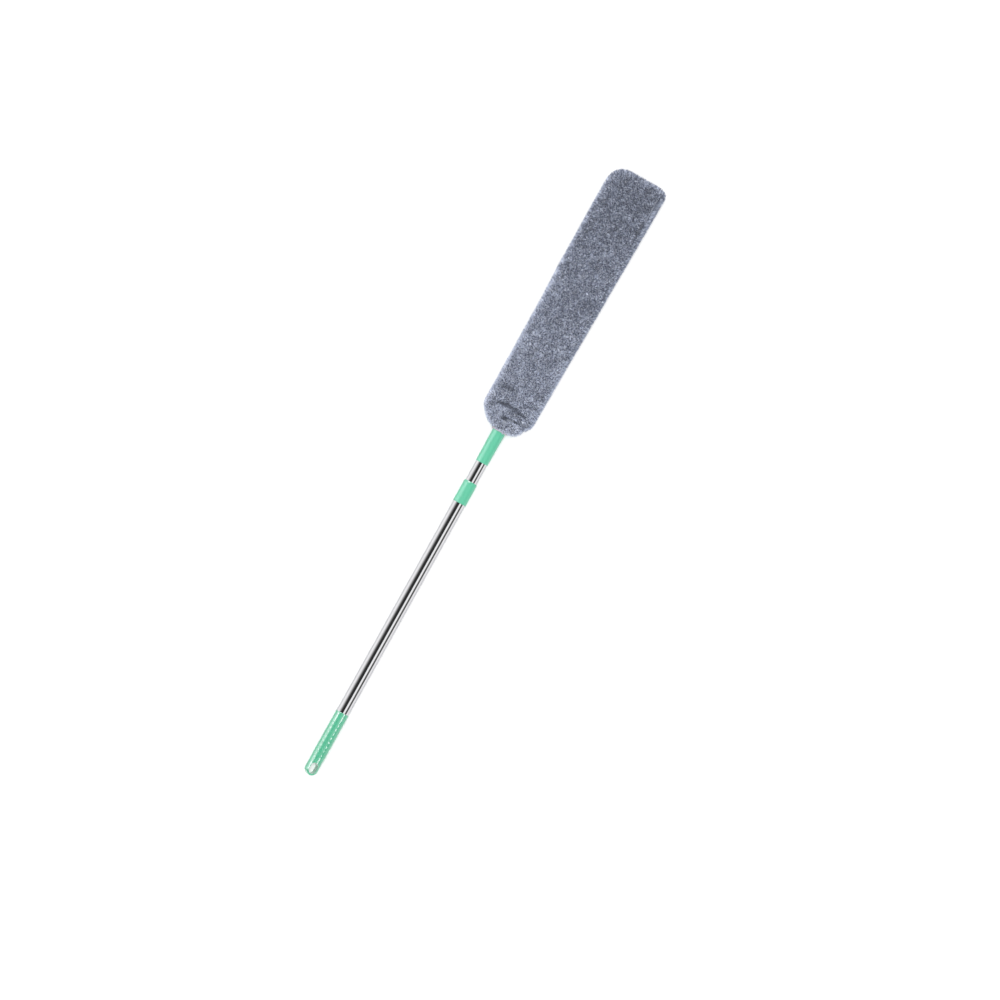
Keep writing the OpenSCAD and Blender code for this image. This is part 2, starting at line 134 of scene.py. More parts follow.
def make_camera():
    """Straight above, with the pole leaning to the right of the picture's upright."""
    right = Vector((math.sin(POLE_LEAN), -math.cos(POLE_LEAN), 0))
    up = Vector((math.cos(POLE_LEAN), math.sin(POLE_LEAN), 0))
    camera = link(bpy.data.objects.new("camera", bpy.data.cameras.new("camera")))
    camera.data.type = "ORTHO"
    camera.data.ortho_scale = VIEW_WIDTH
    place = right * LOOK_RIGHT - up * LOOK_DOWN + Vector((0, 0, CAMERA_HEIGHT))
    turn = Matrix((right, up, Vector((0, 0, 1)))).transposed().to_4x4()
    camera.matrix_world = Matrix.Translation(place) @ turn
    bpy.context.scene.camera = camera


def make_sun(name, way, spread, radiance):
    """A soft distant light, spread degrees wide, of that brightness, in the way given."""
    data = bpy.data.lights.new(name, "SUN")
    data.angle = math.radians(spread)
    data.energy = radiance * math.pi * math.sin(data.angle / 2) ** 2
    lamp = link(bpy.data.objects.new(name, data))
    lamp.rotation_mode = "QUATERNION"
    lamp.rotation_quaternion = Vector(way).to_track_quat("Z", "Y")
    lamp.location = Vector(way) * CAMERA_HEIGHT
    return lamp


def tilted(degrees):
    """The way to a light over the pole, tilted by degrees from upright towards +Y."""
    return (0.0, math.sin(math.radians(degrees)), math.cos(math.radians(degrees)))


# Pink, so that the highlights on the green plastics come out pale
GLINT_COLOUR = (1.0, 0.72, 0.89)


def make_lights():
    """Key and overhead lights, and glints on the plastics. The polished tubes mirror the room only."""
    mirrors = bpy.data.collections.new("mirrors")
    for name in ("outer_tube", "inner_tube"):
        mirrors.objects.link(frame["nodes"][name])
    for entry in mirrors.collection_objects:
        entry.light_linking.link_state = "EXCLUDE"
    only_grip = bpy.data.collections.new("only_grip")
    only_grip.objects.link(frame["nodes"]["grip"])
    make_sun("key", (0.25, 0.72, 0.65), 50, 0.6).visible_glossy = False
    make_sun("overhead", (0.0, 0.0, 1.0), 26, 12.0).visible_glossy = False
    glints = [
        (make_sun("glint_left_soft", tilted(74), 76, 4.3), mirrors),
        (make_sun("glint_left", tilted(57), 11, 13.0), only_grip),
        (make_sun("glint_right", tilted(-47), 15, 14.0), only_grip),
        (make_sun("glint_tip", (0.774, 0.400, 0.492), 24, 30.0), mirrors),
    ]
    for glint, receivers in glints:
        glint.data.color = GLINT_COLOUR
        glint.visible_diffuse = False
        glint.light_linking.receiver_collection = receivers


class Nodes:
    """A short way to build a node tree."""

    def __init__(self, tree):
        self.tree = tree
        tree.nodes.clear()

    def add(self, kind, inputs=None, **settings):
        node = self.tree.nodes.new(kind)
        for key, value in settings.items():
            setattr(node, key, value)
        for key, value in (inputs or {}).items():
            if isinstance(value, bpy.types.NodeSocket):
                self.tree.links.new(value, node.inputs[key])
            else:
                node.inputs[key].default_value = value
        return node

    def math(self, operation, a, b=0.0, c=0.0):
        return self.add("ShaderNodeMath", {0: a, 1: b, 2: c}, operation=operation).outputs[0]

    def step(self, value, low, high):
        """0 where value is low, 1 where it is high, smooth between."""
        inputs = {0: value, 1: low, 2: high}
        return self.add("ShaderNodeMapRange", inputs, interpolation_type="SMOOTHSTEP").outputs[0]

    def ramp(self, value, stops):
        node = self.add("ShaderNodeValToRGB", {0: value})
        bar = node.color_ramp.elements
        while len(bar) < len(stops):
            bar.new(0.5)
        for stop, (place, colour) in zip(bar, stops):
            stop.position = place
            stop.color = (*colour, 1.0)
        return node.outputs[0]


# Brightness of the room as light, then of what mirrors of it: past the pole's ends, in the long lights
# beside the pole, in the dark gap and in the grey one
SKY = 0.78
SIDE_SKY = 0.98
BRIGHT_SKY = 1.45
DARK_SKY = 0.041
GREY_SKY = 0.149
# Where the gaps start, fade and end, in degrees from upright towards +Y
DARK_START = (-12.5, -9.5)
DARK_FADE = (18.0, 82.0)
FADE_POWER = 1.5
GREY_START = (-80.0, -74.0)
GREY_END = (-45.0, -40.0)
# Where lights and gaps end towards the pole's ends, as the X part of a unit direction
LIGHTS_END = (0.75, 0.95)


def make_world():
    """A pale even room. What mirrors it shows long lights beside the pole, a dark gap and a grey one."""
    world = bpy.data.worlds.new("room")
    bpy.context.scene.world = world
    world.use_nodes = True
    n = Nodes(world.node_tree)
    way = n.add("ShaderNodeTexCoord").outputs["Generated"]
    xyz = n.add("ShaderNodeSeparateXYZ", {0: way}).outputs
    tilt = n.math("MULTIPLY", n.math("ARCTAN2", xyz[1], xyz[2]), 180 / math.pi)
    beside = n.math("SUBTRACT", 1.0, n.step(n.math("ABSOLUTE", xyz[0]), *LIGHTS_END))
    fade = n.math("POWER", n.step(tilt, *DARK_FADE), FADE_POWER)
    dark = n.math("MULTIPLY", n.step(tilt, *DARK_START), n.math("SUBTRACT", 1.0, fade))
    beyond_grey = n.math("SUBTRACT", 1.0, n.step(tilt, *GREY_END))
    grey = n.math("MULTIPLY", n.step(tilt, *GREY_START), beyond_grey)
    level = n.math("SUBTRACT", BRIGHT_SKY, n.math("MULTIPLY", dark, BRIGHT_SKY - DARK_SKY))
    level = n.math("SUBTRACT", level, n.math("MULTIPLY", grey, BRIGHT_SKY - GREY_SKY))
    level = n.math("ADD", SIDE_SKY, n.math("MULTIPLY", beside, n.math("SUBTRACT", level, SIDE_SKY)))
    rays = n.add("ShaderNodeLightPath").outputs
    mirrored = rays["Is Glossy Ray"]
    level = n.math("ADD", SKY, n.math("MULTIPLY", mirrored, n.math("SUBTRACT", level, SKY)))
    seen = rays["Is Camera Ray"]
    level = n.math("ADD", level, n.math("MULTIPLY", seen, n.math("SUBTRACT", 1.0, level)))
    sky = n.add("ShaderNodeBackground", {"Color": (1.0, 1.0, 1.0, 1.0), "Strength": level})
    n.add("ShaderNodeOutputWorld", {"Surface": sky.outputs[0]})


FLOOR_SIDE = 30.0
FLOOR_DROP = 0.0006


def make_floor():
    """A plain pale sheet just under the object."""
    half = FLOOR_SIDE / 2
    mesh = bpy.data.meshes.new("floor")
    corners = [(-half, -half, -FLOOR_DROP), (half, -half, -FLOOR_DROP), (half, half, -FLOOR_DROP),
               (-half, half, -FLOOR_DROP)]
    mesh.from_pydata(corners, [], [(0, 1, 2, 3)])
    floor = link(bpy.data.objects.new("floor", mesh))
    material = bpy.data.materials.new("floor_paper")
    material.use_nodes = True
    n = Nodes(material.node_tree)
    shade = n.add("ShaderNodeBsdfPrincipled", {"Base Color": (0.93, 0.93, 0.935, 1), "Roughness": 0.9,
                                               "Specular IOR Level": 0.1})
    n.add("ShaderNodeOutputMaterial", {"Surface": shade.outputs[0]})
    mesh.materials.append(material)


# ---------- materials ----------

def principled(name, **sockets):
    """A new material with one Principled shader: returns it, its node builder and the shader."""
    material = bpy.data.materials.new(name)
    material.use_nodes = True
    n = Nodes(material.node_tree)
    shade = n.add("ShaderNodeBsdfPrincipled", {k.replace("_", " "): v for k, v in sockets.items()})
    n.add("ShaderNodeOutputMaterial", {"Surface": shade.outputs[0]})
    return material, n, shade


def place_of(n, scale=(1, 1, 1)):
    """Object coordinates, stretched by scale."""
    spot = n.add("ShaderNodeTexCoord").outputs["Object"]
    return n.add("ShaderNodeMapping", {"Vector": spot, "Scale": scale}).outputs[0]


def speckle(n, scale, detail=3.0, stretch=(1, 1, 1)):
    """Noise of that scale, with its place stretched first."""
    spot = place_of(n, stretch)
    return n.add("ShaderNodeTexNoise", {"Vector": spot, "Scale": scale, "Detail": detail}).outputs["Fac"]


def raise_surface(n, shade, height, distance):
    """Bump: height, from 0 to 1, times distance in metres."""
    bumps = n.add("ShaderNodeBump", {"Height": height, "Distance": distance})
    n.tree.links.new(bumps.outputs[0], shade.inputs["Normal"])


def set_colour(n, shade, value, stops):
    """Colours the shader by value, through the colours of stops."""
    n.tree.links.new(n.ramp(value, stops), shade.inputs["Base Color"])


def set_roughness(n, shade, value, low, high):
    """Roughness from low to high, where value goes from 0.3 to 0.7."""
    rough = n.add("ShaderNodeMapRange", {0: value, 1: 0.3, 2: 0.7, 3: low, 4: high})
    n.tree.links.new(rough.outputs[0], shade.inputs["Roughness"])


def green_plastic(name, tint, rough_low, rough_high, coat):
    """Mint polypropylene: slow shifts of colour, flow marks along the part and a fine moulded skin."""
    material, n, shade = principled(name, Specular_IOR_Level=0.5, Coat_Weight=coat, Coat_Roughness=0.08)
    flow = speckle(n, 9.0, 2.0, (0.4, 1, 1))
    low, high = tuple(0.96 * c for c in tint), tuple(1.04 * c for c in tint)
    set_colour(n, shade, flow, [(0.30, low), (0.70, high)])
    set_roughness(n, shade, speckle(n, 160.0), rough_low, rough_high)
    raise_surface(n, shade, speckle(n, 900.0, 4.0), 0.00003)
    return material


def chrome():
    """Polished plated tube with faint draw marks along it."""
    material, n, shade = principled("polished_chrome", Metallic=1.0, Base_Color=(0.57, 0.57, 0.58, 1),
                                    Specular_Tint=(0.50, 0.50, 0.52, 1))
    marks = speckle(n, 420.0, 4.0, (0.02, 1, 1))
    set_roughness(n, shade, marks, 0.035, 0.075)
    raise_surface(n, shade, marks, 0.000012)
    return material


def steel():
    """Drawn steel with a fine grain along the part."""
    material, n, shade = principled("plain_steel", Metallic=1.0)
    grain = speckle(n, 700.0, 5.0, (0.15, 1, 1))
    set_colour(n, shade, grain, [(0.3, (0.44, 0.44, 0.45)), (0.7, (0.60, 0.60, 0.61))])
    set_roughness(n, shade, grain, 0.28, 0.45)
    raise_surface(n, shade, grain, 0.00003)
    return material


def nylon():
    """Cream moulded nylon, faintly cloudy."""
    material, n, shade = principled("natural_nylon")
    cloud = speckle(n, 60.0, 3.0)
    set_colour(n, shade, cloud, [(0.3, (0.74, 0.72, 0.64)), (0.7, (0.82, 0.80, 0.73))])
    set_roughness(n, shade, speckle(n, 300.0), 0.38, 0.52)
    raise_surface(n, shade, speckle(n, 1200.0, 3.0), 0.00003)
    return material


YARNS = {
    "silver": (0.68, 0.72, 0.82),
    "ash": (0.54, 0.59, 0.72),
    "slate": (0.39, 0.43, 0.54),
    "charcoal": (0.235, 0.265, 0.34),
    "graphite": (0.165, 0.185, 0.24),
}


def pile(name, tone):
    """Microfibre strands of one tone, mottled, with painted shade making them darker at their roots, and a
    soft sheen.
    """
    material, n, shade = principled(name, Roughness=0.85, Specular_IOR_Level=0.2, Sheen_Weight=0.2,
                                    Sheen_Roughness=0.5)
    along = n.add("ShaderNodeAttribute", attribute_name="along").outputs["Fac"]
    dust = speckle(n, 500.0, 2.0)
    # Painted shade: each strand darkens towards its root, where the pile around it shades it; the mottle
    # is random
    value = n.math("ADD", n.math("MULTIPLY", dust, 0.5), n.math("MULTIPLY", along, 0.5))
    shares = ((0.20, 0.78), (0.50, 1.0), (0.85, 1.06))
    set_colour(n, shade, value, [(place, tuple(share * c for c in tone)) for place, share in shares])
    return material


def shaded_undercoat():
    """The short dense pile below the strand tips, painted near black as the shade in the gaps between the
    strands.
    """
    material, n, shade = principled("pile_shaded_undercoat", Roughness=0.95, Specular_IOR_Level=0.05,
                                    Sheen_Weight=0.15, Sheen_Roughness=0.6)
    tufts = speckle(n, 420.0, 4.0)
    # Painted shade: near black, darker than any yarn, with a random mottle
    set_colour(n, shade, tufts, [(0.35, (0.035, 0.040, 0.055)), (0.65, (0.13, 0.145, 0.19))])
    raise_surface(n, shade, tufts, 0.0008)
    return material


def knit_rows(n, scale, distortion):
    """Rows of stitches that run across the pole, from 0 to 1: about 3.2 times scale to the metre."""
    inputs = {"Vector": place_of(n), "Scale": scale, "Distortion": distortion, "Detail": 2.0}
    return n.add("ShaderNodeTexWave", inputs).outputs["Fac"]


def backing():
    """The knitted back of the pile fabric, which lines the pocket."""
    material, n, shade = principled("knit_backing", Roughness=0.9, Specular_IOR_Level=0.1)
    rows = knit_rows(n, 300.0, 2.0)
    set_colour(n, shade, rows, [(0.1, (0.24, 0.26, 0.32)), (0.9, (0.40, 0.43, 0.50))])
    raise_surface(n, shade, rows, 0.0003)
    return material


def hem_cloth():
    """Fine knitted tape, pale with a pink cast."""
    material, n, shade = principled("hem_cloth", Roughness=0.9, Specular_IOR_Level=0.1, Sheen_Weight=0.3,
                                    Sheen_Roughness=0.5)
    ribs = knit_rows(n, 260.0, 1.5)
    set_colour(n, shade, ribs, [(0.1, (0.38, 0.35, 0.40)), (0.9, (0.56, 0.52, 0.57))])
    raise_surface(n, shade, ribs, 0.0002)
    return material


def dress_cad():
    """Every CAD node that stays gets the detailed material for its slot. The grip is the glossy one."""
    satin = green_plastic("satin_mint_plastic", (0.094, 0.444, 0.281), 0.30, 0.38, 0.0)
    made = {"green_plastic": satin, "chrome": chrome(), "steel": steel(), "nylon": nylon()}
    glossy = green_plastic("glossy_mint_plastic", (0.080, 0.378, 0.228), 0.11, 0.17, 0.4)
    slots = {s["node"]: s["material_slot"] for s in frame["record"]["subparts"]}
    for name, node in frame["nodes"].items():
        material = glossy if name == "grip" else made.get(slots[name])
        if material is not None:
            node.data.materials.clear()
            node.data.materials.append(material)


# ---------- the plush cover's body ----------

PILE_H = 3.7 * MM
LEFT_W = 51.6 * MM
RIGHT_W = 50.2 * MM
LEFT_FLARE = 1.9 * MM
LEFT_FLARE_START = 0.200
LEFT_FLARE_RUN = 0.075
LEFT_END_L = 0.044
RIGHT_FLARE = 9.2 * MM
RIGHT_END_L = 0.024
HEM_W = 14.0 * MM
NOTCH_DEPTH = 5.0 * MM
SIDE_POWER = 0.6


def bump_past_mouth(x, past, size):
    """A bump of that size, that far past the mouth, both in mm."""
    return bump((x - MOUTH_X - past * MM) / (size * MM))


def step_past_mouth(x, past, run):
    """0 up to that far past the mouth, and 1 from run further on, both in mm."""
    return smooth((x - MOUTH_X - past * MM) / (run * MM))


def to_mouth(x, clear, power):
    """1 over the flat part, rounded off towards the mouth to 0 at clear past it."""
    return rounded((PANEL_X - x) / (PANEL_X - MOUTH_X - clear), power)


def to_tip(x, length, power):
    """1 up to that length before the tip, rounded off to 0 at the tip."""
    return rounded((x - TIP_X + length) / length, power)


def left_w(x):
    """Half width of the cover's outline towards +Y."""
    full = LEFT_W + LEFT_FLARE * smooth((x - PANEL_X - LEFT_FLARE_START) / LEFT_FLARE_RUN)
    shoulder = 2.2 * MM * bump_past_mouth(x, 33.5, 9)
    wide = HEM_W + (full - HEM_W) * to_mouth(x, 8.5 * MM, 1.75) + shoulder
    return wide * to_tip(x, LEFT_END_L, 2.8)


def right_w(x):
    """Half width of the cover's outline towards -Y."""
    full = RIGHT_W + RIGHT_FLARE * np.clip((x - PANEL_X) / (TIP_X - PANEL_X), 0, 1)
    notch = NOTCH_DEPTH * bump_past_mouth(x, 22.9, 3.2)
    shoulder = 1.5 * MM * bump_past_mouth(x, 37.5, 8)
    wide = HEM_W + (full - HEM_W) * to_mouth(x, 7.0 * MM, 2.0) + shoulder - notch
    return wide * to_tip(x, RIGHT_END_L, 3.8)


def half_width(p):
    """Half width of the cover's outline on each point's side."""
    return np.where(p[:, 1] > 0, left_w(p[:, 0]), right_w(p[:, 0]))


def section(x, left, right, up, down, power, steps):
    """One ring of the cover at x, counter-clockwise seen from the tip."""
    a = 2 * math.pi * (np.arange(steps) + 0.5) / steps
    c, s = power_sign(np.cos(a), power), power_sign(np.sin(a), power)
    y = np.where(c > 0, c * left, c * right)
    z = AXIS_Z + np.where(s > 0, s * up, s * down)
    return np.stack([np.full(steps, x), y, z], 1)


RING_STEPS = 120
HEM_L = 2.2 * MM
BELLY = 14.3 * MM
BELLY_GAP = 0.9 * MM
END_ROUND = 14 * MM
MOUTH_BODY_R = 15.6 * MM
MOUTH_BORE_R = 12.9 * MM
POCKET_WALL = 10.3 * MM


def outer_rings():
    """The body under the pile, from the tip to the hem."""
    tip = TIP_X - 1.1 * PILE_H
    turn = [tip - END_ROUND * (1 - math.sin(t)) for t in np.linspace(math.pi / 2 - 0.05, 0.15, 12)]
    run = np.linspace(tip - 16 * MM, MOUTH_X + HEM_L, 150)
    rings = []
    for x in [*turn, *run]:
        share = rounded((x - tip + END_ROUND) / END_ROUND, 2.0)
        gather = step_past_mouth(x, 2, 28)
        shrink = PILE_H * (0.35 + 0.65 * gather)
        x_out = x + PILE_H * 0.9 * (1 - share)
        reach = np.maximum(np.array([left_w(x_out), right_w(x_out)]) - shrink, 2 * MM)
        up = (COVER_UP - shrink) * share
        down = BELLY * share
        low = MOUTH_BODY_R + 0.4 * MM * gather
        if gather < 1:
            up, down = low + (up - low) * gather, low + (down - low) * gather
        down = min(down, AXIS_Z - BELLY_GAP)
        power = 1.0 + (SIDE_POWER - 1.0) * gather
        rings.append(section(x, reach[0], reach[1], up, down, power, RING_STEPS))
    return rings


def inner_rings():
    """The pocket's skin, from the hem to the pocket's end: round at the mouth, then wide and flat."""
    rings = []
    for x in np.linspace(MOUTH_X + HEM_L - 0.8 * MM, POCKET_END_X, 60):
        u = float(step_past_mouth(x, 10, 20))
        late = float(step_past_mouth(x, 92, 10))
        w_left = w_right = MOUTH_BORE_R + 25 * MM * u
        if u > 0.98:
            w_left = np.minimum(left_w(x) - POCKET_WALL, 41.5 * MM)
            w_right = np.minimum(right_w(x) - POCKET_WALL, 47 * MM)
        h = MOUTH_BORE_R - 4.9 * MM * u - 2.6 * MM * late
        rings.append(section(x, w_left, w_right, h, h, 1.0 - 0.4 * u, RING_STEPS))
    return rings


def skin(name, rings, ends=True):
    """A mesh through rings of points, closed at both ends if ends is set."""
    steps = len(rings[0])
    points = np.concatenate(rings)
    faces = []
    for r in range(len(rings) - 1):
        for k in range(steps):
            a, b = r * steps + k, r * steps + (k + 1) % steps
            faces.append((a, b, b + steps, a + steps))
    if ends:
        last = (len(rings) - 1) * steps
        faces.append(tuple(range(steps))[::-1])
        faces.append(tuple(last + k for k in range(steps)))
    mesh = bpy.data.meshes.new(name)
    mesh.from_pydata(points.tolist(), [], faces)
    mesh.update()
    return mesh


def remeshed(mesh, voxel):
    """An even grid of quads over a closed mesh."""
    obj = link(bpy.data.objects.new("rough", mesh))
    change = obj.modifiers.new("even", "REMESH")
    change.mode = "VOXEL"
    change.voxel_size = voxel
    even = bpy.data.meshes.new_from_object(obj.evaluated_get(bpy.context.evaluated_depsgraph_get()))
    bpy.data.objects.remove(obj)
    return even


def get_points(mesh):
    co = np.zeros(len(mesh.vertices) * 3)
    mesh.vertices.foreach_get("co", co)
    return co.reshape(-1, 3)


def get_normals(mesh):
    n = np.zeros(len(mesh.vertices) * 3)
    mesh.vertices.foreach_get("normal", n)
    return n.reshape(-1, 3)


def set_points(mesh, co):
    mesh.vertices.foreach_set("co", co.ravel())
    mesh.update()


# The side seam's way in from the outline: EDGE_IN for the pile, then SEAM_IN over the body
SEAM_IN = 7 * MM
EDGE_IN = 4 * MM
SEAM_DEPTH = 3.0 * MM
FOLD_DEPTH = 4.2 * MM


def seam_gap(p):
    """How far a point on the upper face is from the side seam, towards +Y."""
    return p[:, 1] + right_w(np.minimum(p[:, 0], TIP_X - 0.03)) - SEAM_IN - EDGE_IN


def seam_share(p):
    """How strongly the side seam shows: from the tip's corner, fading towards the middle."""
    return smooth((p[:, 0] - PANEL_X - 0.330) / 0.090) * (1 - smooth((p[:, 0] - TIP_X + 0.026) / 0.012))


def crease(p, x0, bow, y0, y1, width, slant=0.0):
    """A ragged fold across the upper face from y0 to y1: at x0 halfway, bowed to the tip, slanted."""
    mid, half = (y0 + y1) / 2, (y1 - y0) / 2
    u = (p[:, 1] - mid) / half
    line = x0 - bow * u * u - slant * u + 1.3 * MM * noise(p, 8 * MM, 41)
    reach = 1 - smooth((np.abs(u) - 0.6) / 0.5)
    return bump((p[:, 0] - line) / width) * reach * (0.85 + 0.45 * noise(p, 5 * MM, 42))


# Each crease: its depth, then in mm how far past the mouth, its bow, two ends across, width and slant
CREASES = (
    (1.0, 50.5, 6.5, -34, 38, 5.0, 0.0),
    (1.4, 29.9, 0.0, -44, 10, 3.4, 4.7),
    (0.4, 79, 4, 6, 44, 5, 0.0),
    (0.3, 66, -3, -46, -8, 5, 0.0),
)
# Each dimple: its depth, then in mm how far past the mouth and across, its length and its width
DIMPLES = (
    (1.1, 17, -1, 3, 5),
    (0.7, 27, -3, 4, 7),
)


def folds(p):
    """Depth of the creases and dimples in the cover, 1 being FOLD_DEPTH, at points on its upper face."""
    deep = np.zeros(len(p))
    for depth, past, bow, y0, y1, width, slant in CREASES:
        ends = (y0 * MM, y1 * MM)
        deep += depth * crease(p, MOUTH_X + past * MM, bow * MM, *ends, width * MM, slant * MM)
    for depth, past, across, length, width in DIMPLES:
        near = bump_past_mouth(p[:, 0], past, length)
        deep += depth * near * bump((p[:, 1] - across * MM) / (width * MM))
    return deep


def swells(p):
    """Height of the puffed places between the creases, in metres."""
    lobe = bump_past_mouth(p[:, 0], 15, 10) * bump((p[:, 1] + 24 * MM) / (14 * MM))
    band = crease(p, MOUTH_X + 40 * MM, 4 * MM, -36 * MM, 34 * MM, 6 * MM)
    return 2.2 * MM * lobe + 1.6 * MM * band


def pleats(p):
    """Height of the gathers that run out from the hem, in metres."""
    turn = np.arctan2(p[:, 2] - AXIS_Z, p[:, 1])
    near = bump_past_mouth(p[:, 0], 5, 15)
    wave = np.sin(9 * turn + 1.3) + 0.6 * np.sin(14 * turn + 4.1) + 0.5 * np.sin(5 * turn + 0.7)
    return 1.25 * MM * near * wave


def out_of_pocket(p):
    """1 at points of the outer surface, 0 at those deep in the pocket."""
    share = smooth((np.abs(p[:, 2] - AXIS_Z) - 7.5 * MM) / (3 * MM))
    share = np.maximum(share, smooth((p[:, 0] - POCKET_END_X - 3 * MM) / (2 * MM)))
    return np.maximum(share, smooth((np.abs(p[:, 1]) - half_width(p) + 10 * MM) / (3 * MM)))


# Lumps of the outer surface: height, size and seed
LUMPS = ((0.6 * MM, 26 * MM, 1), (0.3 * MM, 9 * MM, 2), (0.2 * MM, 4 * MM, 3))


def shape_body(mesh):
    """Creases, swells, gathers, the seam's groove and lumps, all along the surface's normals."""
    p, n = get_points(mesh), get_normals(mesh)
    outside = out_of_pocket(p)
    upper = smooth((n[:, 2] - 0.1) / 0.4) * outside
    lower = smooth((-n[:, 2] - 0.1) / 0.4)
    move = (swells(p) - FOLD_DEPTH * folds(p)) * upper
    hem = step_past_mouth(p[:, 0], 3, 6)
    move += pleats(p) * outside * hem * (1 - lower)
    move -= SEAM_DEPTH * bump(seam_gap(p) / (2.0 * MM)) * seam_share(p) * upper
    calm = outside * hem * (1 - 0.8 * lower) * (1 - 0.6 * np.abs(n[:, 1]))
    move += calm * sum(height * noise(p, size, seed) for height, size, seed in LUMPS)
    p += n * move[:, None]
    p[:, 2] = np.maximum(p[:, 2], 0.5 * MM)
    set_points(mesh, p)


VOXEL = 1.6 * MM


def make_body():
    """The cover without its pile: knit inside the pocket, and outside a near-black under-layer painted as
    shade between the strands.
    """
    rough = skin("rough_body", outer_rings() + inner_rings())
    mesh = remeshed(rough, VOXEL)
    shape_body(mesh)
    mesh.name = "plush_sleeve"
    mesh.polygons.foreach_set("use_smooth", np.ones(len(mesh.polygons), bool))
    mesh.materials.clear()
    mesh.materials.append(shaded_undercoat())
    mesh.materials.append(backing())
    mesh.polygons.foreach_set("material_index", pocket_faces(mesh).astype(np.int32))
    return link(bpy.data.objects.new("plush_sleeve", mesh))


# ---------- pile ----------

# What lines the pocket: how far in from the outline, how near the axis in height, how far past the end
LINING_IN = 9.0 * MM
LINING_HALF_H = 8.2 * MM
LINING_PAST = 1.5 * MM
# Near the mouth: up to this far along, within this radius
MOUTH_LINING_L = 24 * MM
MOUTH_LINING_R = 14.2 * MM


def in_pocket(middle, out):
    """Whether faces, given by their middles and normals, line the pocket and don't show outside."""
    lining = (
        (np.abs(middle[:, 1]) < half_width(middle) - LINING_IN)
        & (np.abs(middle[:, 2] - AXIS_Z) < LINING_HALF_H)
        & (middle[:, 0] < POCKET_END_X + LINING_PAST)
    )
    from_axis = np.hypot(middle[:, 1], middle[:, 2] - AXIS_Z)
    lining |= (middle[:, 0] < MOUTH_X + MOUTH_LINING_L) & (from_axis < MOUTH_LINING_R)
    inward = out[:, 1] * middle[:, 1] + out[:, 2] * (middle[:, 2] - AXIS_Z) < 0
    return lining | ((middle[:, 0] < PANEL_X) & inward & (middle[:, 0] > MOUTH_X + HEM_L))


def pocket_faces(mesh):
    """Which of the body's faces line the pocket."""
    middle, out = np.zeros(3 * len(mesh.polygons)), np.zeros(3 * len(mesh.polygons))
    mesh.polygons.foreach_get("center", middle)
    mesh.polygons.foreach_get("normal", out)
    return in_pocket(middle.reshape(-1, 3), out.reshape(-1, 3))


def outer_triangles(mesh):
    """Corners, corner normals and areas of the body's outward triangles, without the pocket's."""
    mesh.calc_loop_triangles()
    index = np.zeros(len(mesh.loop_triangles) * 3, int)
    mesh.loop_triangles.foreach_get("vertices", index)
    index = index.reshape(-1, 3)
    p, n = get_points(mesh), get_normals(mesh)
    face = np.cross(p[index[:, 1]] - p[index[:, 0]], p[index[:, 2]] - p[index[:, 0]])
    keep = ~in_pocket(p[index].mean(1), face)
    return p[index[keep]], n[index[keep]], np.linalg.norm(face[keep], axis=1) / 2


def scatter(triangles, count, rng):
    """Random points, with their normals, spread evenly over triangles."""
    corners, normals, areas = triangles
    pick = rng.choice(len(areas), count, p=areas / areas.sum())
    u, v = rng.random(count), rng.random(count)
    over = u + v > 1
    u[over], v[over] = 1 - u[over], 1 - v[over]
    w = np.stack([1 - u - v, u, v], 1)[:, :, None]
    return (corners[pick] * w).sum(1), unit((normals[pick] * w).sum(1))


def nap(p, n):
    """The way the pile lies at each point: swirls, and straight along beyond the side seam."""
    along = 0.2 + 1.0 * noise(p, 10 * MM, 11)
    rim = smooth((np.abs(p[:, 1]) - half_width(p) + 14 * MM) / (8 * MM))
    across = (1.0 - 0.75 * rim) * noise(p, 10 * MM, 12)
    rise = 1.0 * noise(p, 10 * MM, 13)
    way = np.stack([along, across, rise], 1)
    top = p[:, 2] > AXIS_Z
    beyond = (seam_share(p) * smooth(-seam_gap(p) / (1.5 * MM)) * top)[:, None]
    way = way * (1 - beyond) + np.array([1.3, -0.3, 0.0]) * beyond
    part = seam_share(p) * bump(seam_gap(p) / (3.5 * MM)) * top
    way[:, 1] += 2.4 * part * np.sign(seam_gap(p))
    return way - n * (way * n).sum(1, keepdims=True)


def strands(roots, ups, tips, width):
    """Tapered three-sided strands from roots to tips, their faces, and 0 to 1 along each."""
    count = len(roots)
    length = tips - roots
    side = unit(np.cross(length, ups + 0.01))
    other = unit(np.cross(length, side))
    verts = np.zeros((count, 4, 3))
    for k in range(3):
        a = 2 * math.pi * k / 3
        verts[:, k] = roots + width[:, None] * (math.cos(a) * side + math.sin(a) * other)
    verts[:, 3] = tips
    base = 4 * np.arange(count)[:, None]
    pattern = np.array([[0, 1, 3], [1, 2, 3], [2, 0, 3], [0, 2, 1]])
    faces = (base[:, :, None] + pattern[None]).reshape(-1, 3)
    return verts.reshape(-1, 3), faces, np.tile([0.0, 0.0, 0.0, 1.0], count)


def mesh_from(name, verts, faces):
    """A flat-shaded mesh of triangles."""
    mesh = bpy.data.meshes.new(name)
    mesh.vertices.add(len(verts))
    mesh.vertices.foreach_set("co", np.ascontiguousarray(verts, np.float32).ravel())
    mesh.loops.add(3 * len(faces))
    mesh.loops.foreach_set("vertex_index", np.ascontiguousarray(faces, np.int32).ravel())
    mesh.polygons.add(len(faces))
    mesh.polygons.foreach_set("loop_start", np.arange(0, 3 * len(faces), 3, dtype=np.int32))
    mesh.polygons.foreach_set("use_smooth", np.zeros(len(faces), bool))
    mesh.update(calc_edges=True)
    return mesh


def store(mesh, name, values):
    """Keeps one number for each point of mesh, for a material to read."""
    mesh.attributes.new(name, "FLOAT", "POINT").data.foreach_set("value", np.asarray(values, np.float32))


TUFT_COUNT = 17000
STRAND_COUNT = 176000
STRAND_R = 0.45 * MM
FLOOR_GAP = 0.15 * MM
